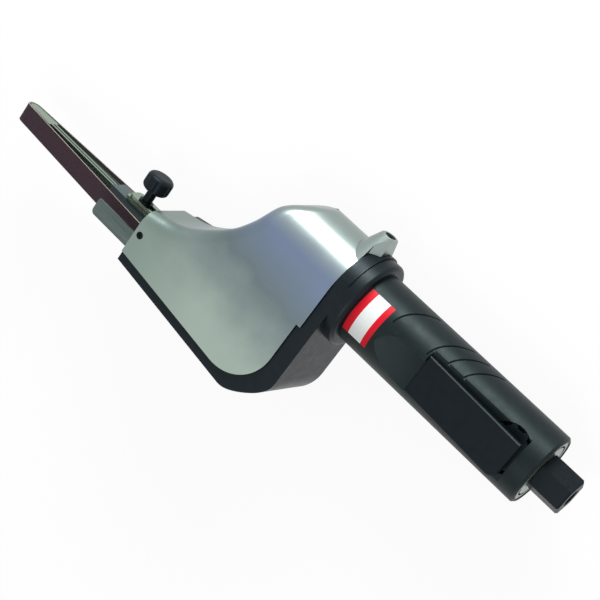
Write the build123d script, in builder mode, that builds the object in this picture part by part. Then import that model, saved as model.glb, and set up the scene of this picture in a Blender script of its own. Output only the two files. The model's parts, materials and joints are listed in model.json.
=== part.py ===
# Pneumatic offset belt sander: a lever-throttle motor handle, a right-angle bevel drive in a split
# housing, and a spring-loaded arm that carries a narrow abrasive belt beside the handle's axis.
# X runs along the handle from the air inlet to the belt tip, Z is up, and +Y is the belt side.
import math
import os
from build123d import *

os.makedirs("parts", exist_ok=True)

# Fits shared by mating pieces
run_gap = 0.05          # radial clearance of a turning shaft or pin
slip_gap = 0.3          # clearance between sliding or neighbouring moving pieces
seat_gap = 0.02         # clearance of a piece pressed or screwed into its seat

# Stations along the handle axis
hex_length = 21
grip_length = 140.5
collar_length = 7
collar_lap = 3          # length of collar that sleeves over the grip
rear_wall_length = 8
cover_length = 122.5    # cover from its rear edge to the belt mouth
belt_setback = 11.4     # cover's rear edge to the belt's rear bend
belt_span = 212.7       # cross shaft to the tip idler

# Handle
grip_radius = 24
grip_edge = 1.5
motor_bore = 17
motor_depth = 44        # motor bore from the grip's front end
passage_radius = 6
spigot_radius = 8.5
spigot_length = 15
hex_flats = 22
hex_edge = 1
npt_bore = 5.6
npt_depth = 15
passage_bore = 4.4
collar_radius = 27
collar_edge = 1.2
cap_radius = 21.5
cap_thickness = 4
cap_recess = 0.5
cap_groove_radius = 18.5
cap_groove = 1.2
exhaust_bridge = 5      # cap's webs between the exhaust slots
exhaust_bridges = 4
groove_width = 1.1
groove_depth = 0.8
groove_rake = 1.0       # groove runs rearward, per mm it falls
groove_lean = 0.45      # and forward, per mm away from the belt side
groove_start = 11       # groove's upper end, away from the belt side
groove_setbacks = (53.5, 80.3, 91.6, 103.3)
label_length = 18
label_from = -43        # degrees about the handle, from +Z toward +Y
label_to = 30
label_thickness = 0.35
label_margin = 2        # label's front edge behind the collar

# Throttle on top of the handle
lever_setback = 13      # grip's rear end to the lever's rear end
lever_length = 71
lever_width = 26
lever_shift = 1         # lever plate's middle toward the belt side
lever_thickness = 3
lever_seat = 18.4       # height of the flat land under the lever
lever_drop = 0.6        # gap under the pressed lever
lever_travel = 5        # degrees
lever_corner = 6        # rear corner toward the belt side
lever_far_corner = 1.5
lever_edge = 0.6
hinge_setback = 6       # lever's front end to the hinge pin
hinge_height = 16.5
hinge_radius = 1.5
hinge_length = 20
tongue_width = 9
tongue_radius = 3.6
valve_reach = 35        # hinge pin to the valve
valve_radius = 2
valve_head = 4
valve_head_length = 2
bushing_radius = 5
bushing_length = 9.5
valve_spring_radius = 3
valve_spring_wire = 1
dial_setback = 20.5     # grip's rear end to the dial's axis
dial_shift = -2         # dial's axis away from the belt side
dial_radius = 12.4
dial_lobe = 2.1
dial_lobes = 10
dial_thickness = 4
dial_post = 2
dial_post_length = 4
scoop_reach = 31        # lever's front end to the thumb scoop's front end
scoop_radius = 90       # scoop's rise toward its front end
scoop_edge = 7.6        # scoop's side edge, away from the belt side
scoop_corner = 14

# Air motor
end_plate = 6
cylinder_length = 28
cylinder_bore = 14.2
cylinder_offset = 0.5
rotor_radius = 13.2
rotor_gap = 0.4
vane_thickness = 1.8
vane_depth = 6
vane_count = 5
shaft_radius = 4
shaft_stub = 2          # rotor shaft behind its rear bearing
bearing_radius = 9
bearing_width = 6

# Right-angle drive
gear_teeth = 14
gear_radius = 14.8      # at the large end, on the pitch cone
gear_face = 7
tooth_fill = 0.34       # tooth thickness as a part of the pitch
tooth_addendum = 0.9
tooth_dedendum = 1.5
gear_back = 4
gear_hub = 8
cross_shaft_radius = 5
carrier_radius = 15
carrier_bore = 11
carrier_lip = 2
carrier_length = 27
carrier_gap = 3.2       # bevel gear's back to the carrier
cross_bearing_width = 7
carrier_foot_width = 22

# Belt and wheels
belt_width = 12.7
belt_thickness = 1
belt_y = 63.5
belt_fit = 0.1          # belt's inner face to the wheels
pulley_radius = 24
pulley_width = 14
pulley_web = 5
pulley_rim = 3.5
pulley_hub = 10
screw_washer = 2
screw_hex = 3
idler_radius = 4.5
idler_width = 9.9
idler_bearing_radius = 3.4
idler_lip = 1
axle_radius = 1.75

# Housing
belt_room = 2.4         # belt to the cover's roof and to the tray's floor
cover_wall = 2.5
floor_thickness = 3.5
tray_wall = 3
split_z = -10
rim_drop = 1.5
cover_gap = 0.3
crown_radius = 9        # rounding along the curved side of the cover
flank_margin = 2        # the straight flank's start outside the round gear case
flank_reach = 5.6       # and ahead of the cross shaft
flank_round = 24
saddle_setback = 28     # saddle behind the mouth
saddle_drop = 5.7       # and from the mouth's far corner toward the handle's axis
saddle_round = 45
mouth_inset = 10.5      # cover's far corner at the mouth, from the arm bracket
cover_edge_mouth = 2.65 # cover's belt-side edge at the mouth, from the belt's edge
cover_edge_rear = 15.15 # and at its rear end
cover_round = 28
step_x = 3
step_y = 27
rim_edge_mouth = 9.15   # tray's belt-side edge at the mouth, from the belt's edge
rim_edge_rear = 23.15   # and at its rear end
rim_round = 27
tray_inset = 5          # tray's far side behind the cover's, at the saddle and the mouth
boss_setback = -1.5     # boss's axis ahead of the cover's rear edge
boss_z = 4
boss_radius = 5.4       # at its end
boss_base = 17          # and at its root
boss_reach = 12
boss_root = 10          # boss carried on into the case's wall
boss_edge = 0.5
clamp_head = 3.2
clamp_head_length = 4
clamp_recess = 0.6      # screw's head below the boss's end
clamp_shank = 2
clamp_length = 10
guard_reach = 34        # guard beyond the mouth
guard_lap = 12          # guard inside the mouth
guard_inner = -4.5      # guard's edges, from the belt's middle
guard_outer = 6.4
guard_neck = -10.5
guard_thickness = 1.6
guard_corner = 3
guard_inner_corner = 0.8
guard_screw_setback = 4.5
guard_screw_shift = -6.7
guard_screw_head = 2.4
guard_screw_head_length = 1.2
guard_screw_recess = 0.6
guard_screw_shank = 1.4

# Arm
belt_side_gap = 0.65    # belt's edge to the arm plate
bracket_thickness = 2.2
bracket_lap = 42        # bracket inside the mouth
bracket_reach = 31      # bracket beyond the mouth
bracket_half = 8
bracket_foot = 22
arm_thickness = 2.5
arm_lap = 35            # arm plate inside the mouth
arm_reach = 33          # and beyond it
arm_top = 5.5           # upper edge of the arm plate and the bracket
arm_corner = 4
arm_travel = 6
shank_lap = 28          # shank inside the mouth
shank_reach = 45        # and beyond it
shank_top = 5
shank_width = 12.5
bar_inset = 0.15        # bar's side behind the belt's edge
bar_width = 10
bar_half = 2.6
bar_setback = 9.5       # bar's front end behind the idler's axis
flute_depth = 0.8
flute_width = 1.8
nose_length = 9
nose_gap = 1.2          # nose to the belt
nose_radius = 4
cheek_thickness = 2
platen_inset = 2.5      # platen's side behind the belt's edge
platen_width = 9.3
platen_thickness = 2
knob_reach = 20.5       # knob beyond the mouth
knob_head = 9
knob_head_length = 11.5
knob_round = 3.2
knob_stem = 3.3
knob_stem_length = 8
knob_lobe = 2.9         # scallops' middles outside the knob's head
knob_scallop = 3.5
knob_lobes = 6
washer_radius = 4.8
washer_length = 1.2
guide_pin_setback = 18  # guide pin inside the mouth
guide_pin_radius = 2.5
guide_pin_reach = 7
tension_spring_radius = 2.4
tension_spring_wire = 0.9

# Derived places
grip_rear = hex_length
grip_front = grip_rear + grip_length
wall_rear = grip_front - collar_lap + collar_length
cover_rear = wall_rear + rear_wall_length
mouth_x = cover_rear + cover_length
gear_x = cover_rear + belt_setback + belt_thickness + belt_fit + pulley_radius
idler_x = gear_x + belt_span
motor_seat = grip_front - motor_depth
cap_front = grip_rear + cap_recess + cap_thickness
label_front = grip_front - collar_lap - label_margin
lever_rear = grip_rear + lever_setback
lever_front = lever_rear + lever_length
hinge_x = lever_front - hinge_setback
valve_x = hinge_x - valve_reach
dial_x = grip_rear + dial_setback
scoop_front = lever_front + scoop_reach
lever_bottom = lever_seat + lever_drop
loop_radius = pulley_radius + belt_fit
belt_lean = math.asin((pulley_radius - idler_radius) / belt_span)
top_z = loop_radius + belt_thickness + belt_room + cover_wall
base_z = -(loop_radius + belt_thickness + belt_room + floor_thickness)
floor_z = base_z + floor_thickness
case_radius = top_z
flank_x = gear_x + flank_reach
flank_y = -(case_radius + flank_margin)
saddle_x = mouth_x - saddle_setback
boss_x = cover_rear + boss_setback
guard_screw_x = mouth_x - guard_screw_setback
guard_screw_y = belt_y + guard_screw_shift
bar_y = belt_y - belt_width / 2 - belt_side_gap
arm_y = bar_y - arm_thickness
bracket_y = arm_y - slip_gap - bracket_thickness
belt_edge = belt_y + belt_width / 2
mouth_y = bracket_y - mouth_inset
saddle_y = mouth_y - saddle_drop
bracket_rear = mouth_x - bracket_lap
bracket_front = mouth_x + bracket_reach
arm_rear = mouth_x - arm_lap
arm_front = mouth_x + arm_reach
shank_rear = mouth_x - shank_lap
shank_front = mouth_x + shank_reach
bar_front = idler_x - bar_setback
nose_rear = bar_front - nose_length
bar_side = belt_y - belt_width / 2 + bar_inset
platen_side = belt_y - belt_width / 2 + platen_inset
knob_x = mouth_x + knob_reach
guide_pin_x = mouth_x - guide_pin_setback
carrier_start = gear_radius + gear_back + carrier_gap
label_dir = math.radians(label_to)
label_plane = Plane(
    origin=(0, 0, 0),
    x_dir=(1, 0, 0),
    z_dir=(0, -math.cos(label_dir), math.sin(label_dir)),
)
cross_axis = Axis((gear_x, 0, 0), (0, 1, 0))


def side_plane(y):
    """XZ plane at the given Y; an extrusion from it runs toward -Y."""
    return Plane.XZ.offset(-y)


def run_height(x):
    """Half the clear height inside the belt loop at a station, where its two runs are straight."""
    return (loop_radius - (x - gear_x) * math.sin(belt_lean)) / math.cos(belt_lean)


# Grip: a turned shell with the motor bore, the air passage and the lever's flat land
with BuildPart() as grooves:
    for setback in groove_setbacks:
        tilted = Plane(
            origin=(grip_front - setback, 0, 0),
            x_dir=(groove_rake, 0, 1),
            z_dir=(1, groove_lean, -groove_rake),
        )
        with BuildSketch(tilted):
            Rectangle(6 * grip_radius, 6 * grip_radius)
        extrude(amount=groove_width / 2, both=True)
    with BuildSketch(Plane.YZ):
        Circle(2 * grip_radius)
        Circle(grip_radius - groove_depth, mode=Mode.SUBTRACT)
        with Locations((-groove_start, 0)):
            Rectangle(4 * grip_radius, 6 * grip_radius, align=(Align.MIN, Align.CENTER), mode=Mode.SUBTRACT)
        Rectangle(6 * grip_radius, 3 * grip_radius, align=(Align.CENTER, Align.MAX), mode=Mode.SUBTRACT)
    extrude(amount=grip_front, mode=Mode.INTERSECT)

with BuildPart() as scoop:
    with BuildSketch(Plane.XY):
        with Locations((lever_front, -scoop_edge)):
            Rectangle(scoop_reach, 2 * grip_radius, align=Align.MIN)
        fillet(vertices().sort_by_distance((scoop_front, -scoop_edge))[0], scoop_corner)
    extrude(amount=2 * grip_radius)
    with BuildSketch(side_plane(2 * grip_radius)):
        with Locations((lever_front, lever_seat + scoop_radius)):
            Circle(scoop_radius)
    extrude(amount=4 * grip_radius, mode=Mode.INTERSECT)

with BuildPart() as grip:
    with BuildSketch(Plane.XY):
        with Locations((grip_rear, 0)):
            Rectangle(grip_length, grip_radius, align=(Align.MIN, Align.MIN))
    revolve(axis=Axis.X)
    chamfer(grip.edges().filter_by(GeomType.CIRCLE), grip_edge)
    with BuildSketch(Plane.YZ.offset(grip_rear)):
        Circle(passage_radius)
    extrude(amount=grip_length, mode=Mode.SUBTRACT)
    with BuildSketch(Plane.YZ.offset(grip_rear)):
        Circle(cap_radius + seat_gap)
    extrude(amount=cap_recess + cap_thickness, mode=Mode.SUBTRACT)
    with BuildSketch(Plane.YZ.offset(cap_front)):
        Circle(spigot_radius + seat_gap)
    extrude(amount=spigot_length, mode=Mode.SUBTRACT)
    with BuildSketch(Plane.YZ.offset(motor_seat)):
        Circle(motor_bore)
    extrude(amount=grip_front - motor_seat, mode=Mode.SUBTRACT)
    with BuildSketch(Plane.XY.offset(lever_seat)):
        with Locations((lever_rear - 1, 0)):
            Rectangle(lever_length + 2, 2 * grip_radius, align=(Align.MIN, Align.CENTER))
    extrude(amount=grip_radius, mode=Mode.SUBTRACT)
    with BuildSketch(Plane.XY.offset(hinge_height - tongue_radius - slip_gap)):
        with Locations((hinge_x, 0)):
            Rectangle(2 * tongue_radius + 2, tongue_width + 2 * slip_gap)
    extrude(amount=grip_radius, mode=Mode.SUBTRACT)
    with BuildSketch(Plane.XZ):
        with Locations((hinge_x, hinge_height)):
            Circle(hinge_radius + seat_gap)
    extrude(amount=hinge_length / 2, both=True, mode=Mode.SUBTRACT)
    with BuildSketch(Plane.XY):
        with Locations((valve_x, 0)):
            Circle(bushing_radius + seat_gap)
    extrude(amount=grip_radius, mode=Mode.SUBTRACT)
    with BuildSketch(Plane.XY.offset(lever_seat)):
        with Locations((dial_x, dial_shift)):
            Circle(dial_radius + dial_lobe + slip_gap)
    extrude(amount=-(dial_thickness + slip_gap), mode=Mode.SUBTRACT)
    with BuildSketch(Plane.XY.offset(lever_seat - dial_thickness - slip_gap)):
        with Locations((dial_x, dial_shift)):
            Circle(dial_post + run_gap)
    extrude(amount=-dial_post_length, mode=Mode.SUBTRACT)
    add(scoop.part, mode=Mode.SUBTRACT)
    with BuildSketch(label_plane):
        with Locations((label_front, grip_radius - label_thickness)):
            Rectangle(label_length, grip_radius, align=(Align.MAX, Align.MIN))
    revolve(axis=Axis.X, revolution_arc=label_to - label_from, mode=Mode.SUBTRACT)
    add(grooves.part, mode=Mode.SUBTRACT)
grip.part.label = "grip"
export_step(grip.part, "parts/grip.step")

# Blank wrap-round label, let into the grip
with BuildPart() as label_band:
    with BuildSketch(label_plane):
        with Locations((label_front, grip_radius - label_thickness)):
            Rectangle(label_length, label_thickness, align=(Align.MAX, Align.MIN))
    revolve(axis=Axis.X, revolution_arc=label_to - label_from)
label_band.part.label = "label_band"
export_step(label_band.part, "parts/label_band.step")

# Exhaust cap let into the grip's rear end, with slots for the exhaust air in a turned groove
with BuildPart() as exhaust_cap:
    with BuildSketch(Plane.YZ.offset(cap_front - cap_thickness)):
        Circle(cap_radius)
        Circle(spigot_radius + seat_gap, mode=Mode.SUBTRACT)
    extrude(amount=cap_thickness)
    with BuildSketch(Plane.YZ.offset(cap_front - cap_thickness)):
        Circle(cap_groove_radius)
        Circle(cap_groove_radius - cap_groove, mode=Mode.SUBTRACT)
    extrude(amount=cap_groove, mode=Mode.SUBTRACT)
    with BuildSketch(Plane.YZ.offset(cap_front - cap_thickness)):
        Circle(cap_groove_radius)
        Circle(cap_groove_radius - cap_groove, mode=Mode.SUBTRACT)
        with PolarLocations(cap_groove_radius, exhaust_bridges):
            Rectangle(4 * cap_groove, exhaust_bridge, mode=Mode.SUBTRACT)
    extrude(amount=cap_thickness, mode=Mode.SUBTRACT)
exhaust_cap.part.label = "exhaust_cap"
export_step(exhaust_cap.part, "parts/exhaust_cap.step")

# Air inlet: hexagon with a tapped bore, on a spigot that screws into the grip
with BuildPart() as inlet_bushing:
    with BuildSketch(Plane.YZ):
        RegularPolygon(hex_flats / 2, 6, major_radius=False)
    extrude(amount=hex_length)
    chamfer(inlet_bushing.faces().sort_by(Axis.X)[0].edges(), hex_edge)
    with BuildSketch(Plane.YZ.offset(hex_length)):
        Circle(spigot_radius)
    extrude(amount=cap_front + spigot_length - hex_length)
    with BuildSketch(Plane.YZ):
        Circle(npt_bore)
    extrude(amount=npt_depth, mode=Mode.SUBTRACT)
    with BuildSketch(Plane.YZ.offset(npt_depth)):
        Circle(passage_bore)
    extrude(amount=cap_front + spigot_length - npt_depth, mode=Mode.SUBTRACT)
inlet_bushing.part.label = "inlet_bushing"
export_step(inlet_bushing.part, "parts/inlet_bushing.step")

# Collar that joins the grip to the housing
with BuildPart() as collar:
    with BuildSketch(Plane.YZ.offset(wall_rear - collar_length)):
        Circle(collar_radius)
        Circle(grip_radius + seat_gap, mode=Mode.SUBTRACT)
    extrude(amount=collar_lap)
    with BuildSketch(Plane.YZ.offset(wall_rear)):
        Circle(collar_radius)
        Circle(motor_bore, mode=Mode.SUBTRACT)
    extrude(amount=-(collar_length - collar_lap))
    rear_edges = collar.edges().filter_by(GeomType.CIRCLE).group_by(Axis.X)[0]
    fillet(rear_edges.sort_by(SortBy.LENGTH)[-1], collar_edge)
collar.part.label = "collar"
export_step(collar.part, "parts/collar.step")

# Air motor: eccentric cylinder between two end plates
cylinder_rear = motor_seat + end_plate
cylinder_front = cylinder_rear + cylinder_length
with BuildPart() as motor_cylinder:
    with BuildSketch(Plane.YZ.offset(cylinder_rear)):
        Circle(motor_bore - seat_gap)
        with Locations((0, -cylinder_offset)):
            Circle(cylinder_bore, mode=Mode.SUBTRACT)
    extrude(amount=cylinder_length)
motor_cylinder.part.label = "motor_cylinder"
export_step(motor_cylinder.part, "parts/motor_cylinder.step")

with BuildPart() as rear_end_plate:
    with BuildSketch(Plane.YZ.offset(motor_seat)):
        Circle(motor_bore - seat_gap)
        Circle(bearing_radius + seat_gap, mode=Mode.SUBTRACT)
    extrude(amount=end_plate)
rear_end_plate.part.label = "rear_end_plate"
export_step(rear_end_plate.part, "parts/rear_end_plate.step")

with BuildPart() as front_end_plate:
    with BuildSketch(Plane.YZ.offset(cylinder_front)):
        Circle(motor_bore - seat_gap)
        Circle(bearing_radius + seat_gap, mode=Mode.SUBTRACT)
    extrude(amount=end_plate)
front_end_plate.part.label = "front_end_plate"
export_step(front_end_plate.part, "parts/front_end_plate.step")

# Three equal bearings on the motor axis: one in each end plate and one in the housing's rear wall
pinion_bearing_x = cover_rear - bearing_width - 1
with BuildPart() as motor_bearings:
    for station in (motor_seat, cylinder_front, pinion_bearing_x):
        with BuildSketch(Plane.YZ.offset(station)):
            Circle(bearing_radius)
            Circle(shaft_radius + run_gap, mode=Mode.SUBTRACT)
        extrude(amount=bearing_width)
motor_bearings.part.label = "motor_bearings"
export_step(motor_bearings.part, "parts/motor_bearings.step")

# Rotor with its shaft, and vanes drawn into their slots
with BuildPart() as rotor:
    with BuildSketch(Plane.YZ.offset(cylinder_rear + rotor_gap)):
        Circle(rotor_radius)
        with PolarLocations(rotor_radius - vane_depth / 2, vane_count):
            Rectangle(vane_depth, vane_thickness + 2 * seat_gap, mode=Mode.SUBTRACT)
    extrude(amount=cylinder_length - 2 * rotor_gap)
    with BuildSketch(Plane.YZ.offset(motor_seat - shaft_stub)):
        Circle(shaft_radius)
    extrude(amount=gear_x - gear_radius - gear_back - motor_seat + shaft_stub)
rotor.part.label = "rotor"
export_step(rotor.part, "parts/rotor.step")

with BuildPart() as vanes:
    with BuildSketch(Plane.YZ.offset(cylinder_rear + rotor_gap)):
        with PolarLocations(rotor_radius - vane_depth / 2, vane_count):
            Rectangle(vane_depth - 2 * seat_gap, vane_thickness)
    extrude(amount=cylinder_length - 2 * rotor_gap)
vanes.part.label = "vanes"
export_step(vanes.part, "parts/vanes.step")

# Throttle lever: a broad plate that hinges at its front end and stands raised at rest
with BuildPart() as throttle_lever:
    with BuildSketch(Plane.XY.offset(lever_bottom)):
        with Locations((lever_rear, lever_shift)):
            Rectangle(lever_length, lever_width, align=(Align.MIN, Align.CENTER))
        rear_corners = vertices().group_by(Axis.X)[0].sort_by(Axis.Y)
        fillet(rear_corners[-1], lever_corner)
        fillet(rear_corners[0], lever_far_corner)
    extrude(amount=lever_thickness)
    chamfer(throttle_lever.faces().sort_by(Axis.Z)[-1].edges(), lever_edge)
    with BuildSketch(Plane.XZ):
        with BuildLine():
            Polyline(
                (hinge_x - tongue_radius, lever_bottom),
                (hinge_x - tongue_radius, hinge_height),
                (hinge_x + tongue_radius, hinge_height),
                (hinge_x + tongue_radius, lever_bottom),
                close=True,
            )
        make_face()
        with Locations((hinge_x, hinge_height)):
            Circle(tongue_radius)
    extrude(amount=tongue_width / 2, both=True)
    with BuildSketch(Plane.XZ):
        with Locations((hinge_x, hinge_height)):
            Circle(hinge_radius + run_gap)
    extrude(amount=tongue_width, both=True, mode=Mode.SUBTRACT)
hinge_axis = Axis((hinge_x, 0, hinge_height), (0, 1, 0))
raised_lever = throttle_lever.part.rotate(hinge_axis, lever_travel)
raised_lever.label = "throttle_lever"
export_step(raised_lever, "parts/throttle_lever.step")

with BuildPart() as lever_pin:
    with BuildSketch(Plane.XZ):
        with Locations((hinge_x, hinge_height)):
            Circle(hinge_radius)
    extrude(amount=hinge_length / 2, both=True)
lever_pin.part.label = "lever_pin"
export_step(lever_pin.part, "parts/lever_pin.step")

# Throttle valve under the lever: a bushing, a headed stem and its return spring
bushing_bottom = lever_seat - bushing_length
stem_top = lever_bottom + (hinge_x - valve_x) * math.sin(math.radians(lever_travel)) - slip_gap - 0.3
with BuildPart() as valve_bushing:
    with BuildSketch(Plane.XY.offset(bushing_bottom)):
        with Locations((valve_x, 0)):
            Circle(bushing_radius)
            Circle(valve_radius + run_gap, mode=Mode.SUBTRACT)
    extrude(amount=bushing_length)
valve_bushing.part.label = "valve_bushing"
export_step(valve_bushing.part, "parts/valve_bushing.step")

with BuildPart() as valve_stem:
    with BuildSketch(Plane.XY.offset(bushing_bottom - slip_gap - valve_head_length)):
        with Locations((valve_x, 0)):
            Circle(valve_head)
    extrude(amount=valve_head_length)
    with BuildSketch(Plane.XY.offset(bushing_bottom - slip_gap)):
        with Locations((valve_x, 0)):
            Circle(valve_radius)
    extrude(amount=stem_top - bushing_bottom + slip_gap)
    fillet(valve_stem.edges().filter_by(GeomType.CIRCLE).sort_by(Axis.Z)[-1], valve_radius / 2)
valve_stem.part.label = "valve_stem"
export_step(valve_stem.part, "parts/valve_stem.step")

valve_spring_top = bushing_bottom - slip_gap - valve_head_length
with BuildPart() as valve_spring:
    with BuildSketch(Plane.XY.offset(valve_spring_top)):
        with Locations((valve_x, 0)):
            Circle(valve_spring_radius)
            Circle(valve_spring_radius - valve_spring_wire, mode=Mode.SUBTRACT)
    extrude(amount=-(valve_spring_top + passage_radius - 0.8))
valve_spring.part.label = "valve_spring"
export_step(valve_spring.part, "parts/valve_spring.step")

# Air regulator: a lobed dial that shows beside the rear end of the lever
dial_top = lever_seat - slip_gap / 2
with BuildPart() as regulator_dial:
    with BuildSketch(Plane.XY.offset(dial_top - dial_thickness)):
        with Locations((dial_x, dial_shift)):
            Circle(dial_radius)
            with PolarLocations(dial_radius, dial_lobes):
                Circle(dial_lobe)
    extrude(amount=dial_thickness)
    with BuildSketch(Plane.XY.offset(dial_top - dial_thickness)):
        with Locations((dial_x, dial_shift)):
            Circle(dial_post)
    extrude(amount=-(dial_post_length - slip_gap))
regulator_dial.part.label = "regulator_dial"
export_step(regulator_dial.part, "parts/regulator_dial.step")

# Bevel gear form, about local Z with its cone's apex at the origin; both gears are alike
cone = math.sqrt(0.5)
small_end = 1 - gear_face * cone / gear_radius
root_r = gear_radius - tooth_dedendum * cone
root_z = gear_radius + tooth_dedendum * cone
tooth_width = 2 * math.pi * gear_radius / gear_teeth * tooth_fill
with BuildPart() as bevel_tooth:
    for share in (1, small_end):
        section = Plane(
            origin=(gear_radius * share, 0, gear_radius * share),
            x_dir=(0, 1, 0),
            z_dir=(-cone, 0, -cone),
        )
        with BuildSketch(section):
            with BuildLine():
                Polyline(
                    (-0.75 * tooth_width * share, -tooth_dedendum * share - 0.4),
                    (0.75 * tooth_width * share, -tooth_dedendum * share - 0.4),
                    (0.32 * tooth_width * share, tooth_addendum * share),
                    (-0.32 * tooth_width * share, tooth_addendum * share),
                    close=True,
                )
            make_face()
    loft()
with BuildPart() as bevel_form:
    with BuildSketch(Plane.XZ):
        with BuildLine():
            Polyline(
                (0, root_z * small_end),
                (root_r * small_end, root_z * small_end),
                (root_r, root_z),
                (gear_hub, gear_radius + gear_back),
                (0, gear_radius + gear_back),
                close=True,
            )
        make_face()
    revolve(axis=Axis.Z)
    with PolarLocations(0, gear_teeth):
        add(bevel_tooth.part)

pinion_frame = Plane(origin=(gear_x, 0, 0), x_dir=(0, 1, 0), z_dir=(-1, 0, 0))
half_pitch = math.pi / gear_teeth
gear_frame = Plane(
    origin=(gear_x, 0, 0),
    x_dir=(-math.cos(half_pitch), 0, math.sin(half_pitch)),
    z_dir=(0, 1, 0),
)
with BuildPart() as bevel_pinion:
    with Locations(pinion_frame):
        add(bevel_form.part)
bevel_pinion.part.label = "bevel_pinion"
export_step(bevel_pinion.part, "parts/bevel_pinion.step")

with BuildPart() as bevel_gear:
    with Locations(gear_frame):
        add(bevel_form.part)
bevel_gear.part.label = "bevel_gear"
export_step(bevel_gear.part, "parts/bevel_gear.step")

# Cross shaft from the bevel gear to the drive pulley, on two bearings in a pedestal carrier
shaft_start = gear_radius + gear_back
pulley_start = belt_y - pulley_width / 2
with BuildPart() as cross_shaft:
    with BuildSketch(side_plane(pulley_start + pulley_width)):
        with Locations((gear_x, 0)):
            Circle(cross_shaft_radius)
    extrude(amount=pulley_start + pulley_width - shaft_start)
cross_shaft.part.label = "cross_shaft"
export_step(cross_shaft.part, "parts/cross_shaft.step")

with BuildPart() as drive_pulley:
    with BuildSketch(Plane.XY):
        with BuildLine():
            Polyline(
                (gear_x + cross_shaft_radius + seat_gap, pulley_start),
                (gear_x + pulley_hub, pulley_start),
                (gear_x + pulley_hub, belt_y - pulley_web / 2),
                (gear_x + pulley_radius - pulley_rim, belt_y - pulley_web / 2),
                (gear_x + pulley_radius - pulley_rim, pulley_start),
                (gear_x + pulley_radius, pulley_start),
                (gear_x + pulley_radius, pulley_start + pulley_width),
                (gear_x + pulley_radius - pulley_rim, pulley_start + pulley_width),
                (gear_x + pulley_radius - pulley_rim, belt_y + pulley_web / 2),
                (gear_x + pulley_hub, belt_y + pulley_web / 2),
                (gear_x + pulley_hub, pulley_start + pulley_width),
                (gear_x + cross_shaft_radius + seat_gap, pulley_start + pulley_width),
                close=True,
            )
        make_face()
    revolve(axis=cross_axis)
drive_pulley.part.label = "drive_pulley"
export_step(drive_pulley.part, "parts/drive_pulley.step")

with BuildPart() as pulley_screw:
    with BuildSketch(side_plane(pulley_start + pulley_width)):
        with Locations((gear_x, 0)):
            Circle(gear_hub)
    extrude(amount=-screw_washer)
    with BuildSketch(side_plane(pulley_start + pulley_width + screw_washer)):
        with Locations((gear_x, 0)):
            RegularPolygon(cross_shaft_radius, 6)
    extrude(amount=-screw_hex)
pulley_screw.part.label = "pulley_screw"
export_step(pulley_screw.part, "parts/pulley_screw.step")

carrier_end = carrier_start + carrier_length
with BuildPart() as bearing_carrier:
    with BuildSketch(side_plane(carrier_end)):
        with Locations((gear_x, 0)):
            Circle(carrier_radius)
        with Locations((gear_x, floor_z)):
            Rectangle(carrier_foot_width, -floor_z, align=(Align.CENTER, Align.MIN))
        with Locations((gear_x, 0)):
            Circle(carrier_bore - carrier_lip, mode=Mode.SUBTRACT)
    extrude(amount=carrier_length)
    for seat in (carrier_end, carrier_start + cross_bearing_width):
        with BuildSketch(side_plane(seat)):
            with Locations((gear_x, 0)):
                Circle(carrier_bore)
        extrude(amount=cross_bearing_width, mode=Mode.SUBTRACT)
bearing_carrier.part.label = "bearing_carrier"
export_step(bearing_carrier.part, "parts/bearing_carrier.step")

with BuildPart() as cross_bearings:
    for seat in (carrier_end, carrier_start + cross_bearing_width):
        with BuildSketch(side_plane(seat)):
            with Locations((gear_x, 0)):
                Circle(carrier_bore - seat_gap)
                Circle(cross_shaft_radius + run_gap, mode=Mode.SUBTRACT)
        extrude(amount=cross_bearing_width)
cross_bearings.part.label = "cross_bearings"
export_step(cross_bearings.part, "parts/cross_bearings.step")

# Abrasive belt: a loop drawn tight round the drive pulley and the tip idler
with BuildPart() as sanding_belt:
    with BuildSketch(side_plane(belt_y + belt_width / 2)):
        with BuildSketch(mode=Mode.PRIVATE) as belt_inside:
            with Locations((gear_x, 0)):
                Circle(loop_radius)
            with Locations((idler_x, 0)):
                Circle(idler_radius + belt_fit)
            make_hull()
        with Locations((gear_x, 0)):
            Circle(loop_radius + belt_thickness)
        with Locations((idler_x, 0)):
            Circle(idler_radius + belt_fit + belt_thickness)
        make_hull()
        add(belt_inside.sketch, mode=Mode.SUBTRACT)
    extrude(amount=belt_width)
sanding_belt.part.label = "sanding_belt"
export_step(sanding_belt.part, "parts/sanding_belt.step")

# Tip idler on its bearing and axle
idler_start = bar_side + cheek_thickness + slip_gap
with BuildPart() as idler_wheel:
    with BuildSketch(side_plane(idler_start + idler_width)):
        with Locations((idler_x, 0)):
            Circle(idler_radius)
            Circle(idler_bearing_radius, mode=Mode.SUBTRACT)
    extrude(amount=idler_width)
idler_wheel.part.label = "idler_wheel"
export_step(idler_wheel.part, "parts/idler_wheel.step")

with BuildPart() as idler_bearing:
    with BuildSketch(side_plane(idler_start + idler_width - idler_lip)):
        with Locations((idler_x, 0)):
            Circle(idler_bearing_radius - seat_gap)
            Circle(axle_radius + run_gap, mode=Mode.SUBTRACT)
    extrude(amount=idler_width - 2 * idler_lip)
idler_bearing.part.label = "idler_bearing"
export_step(idler_bearing.part, "parts/idler_bearing.step")

with BuildPart() as idler_axle:
    with BuildSketch(side_plane(idler_start + idler_width)):
        with Locations((idler_x, 0)):
            Circle(axle_radius)
    extrude(amount=idler_start + idler_width - bar_side - cheek_thickness / 2)
idler_axle.part.label = "idler_axle"
export_step(idler_axle.part, "parts/idler_axle.step")

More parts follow.
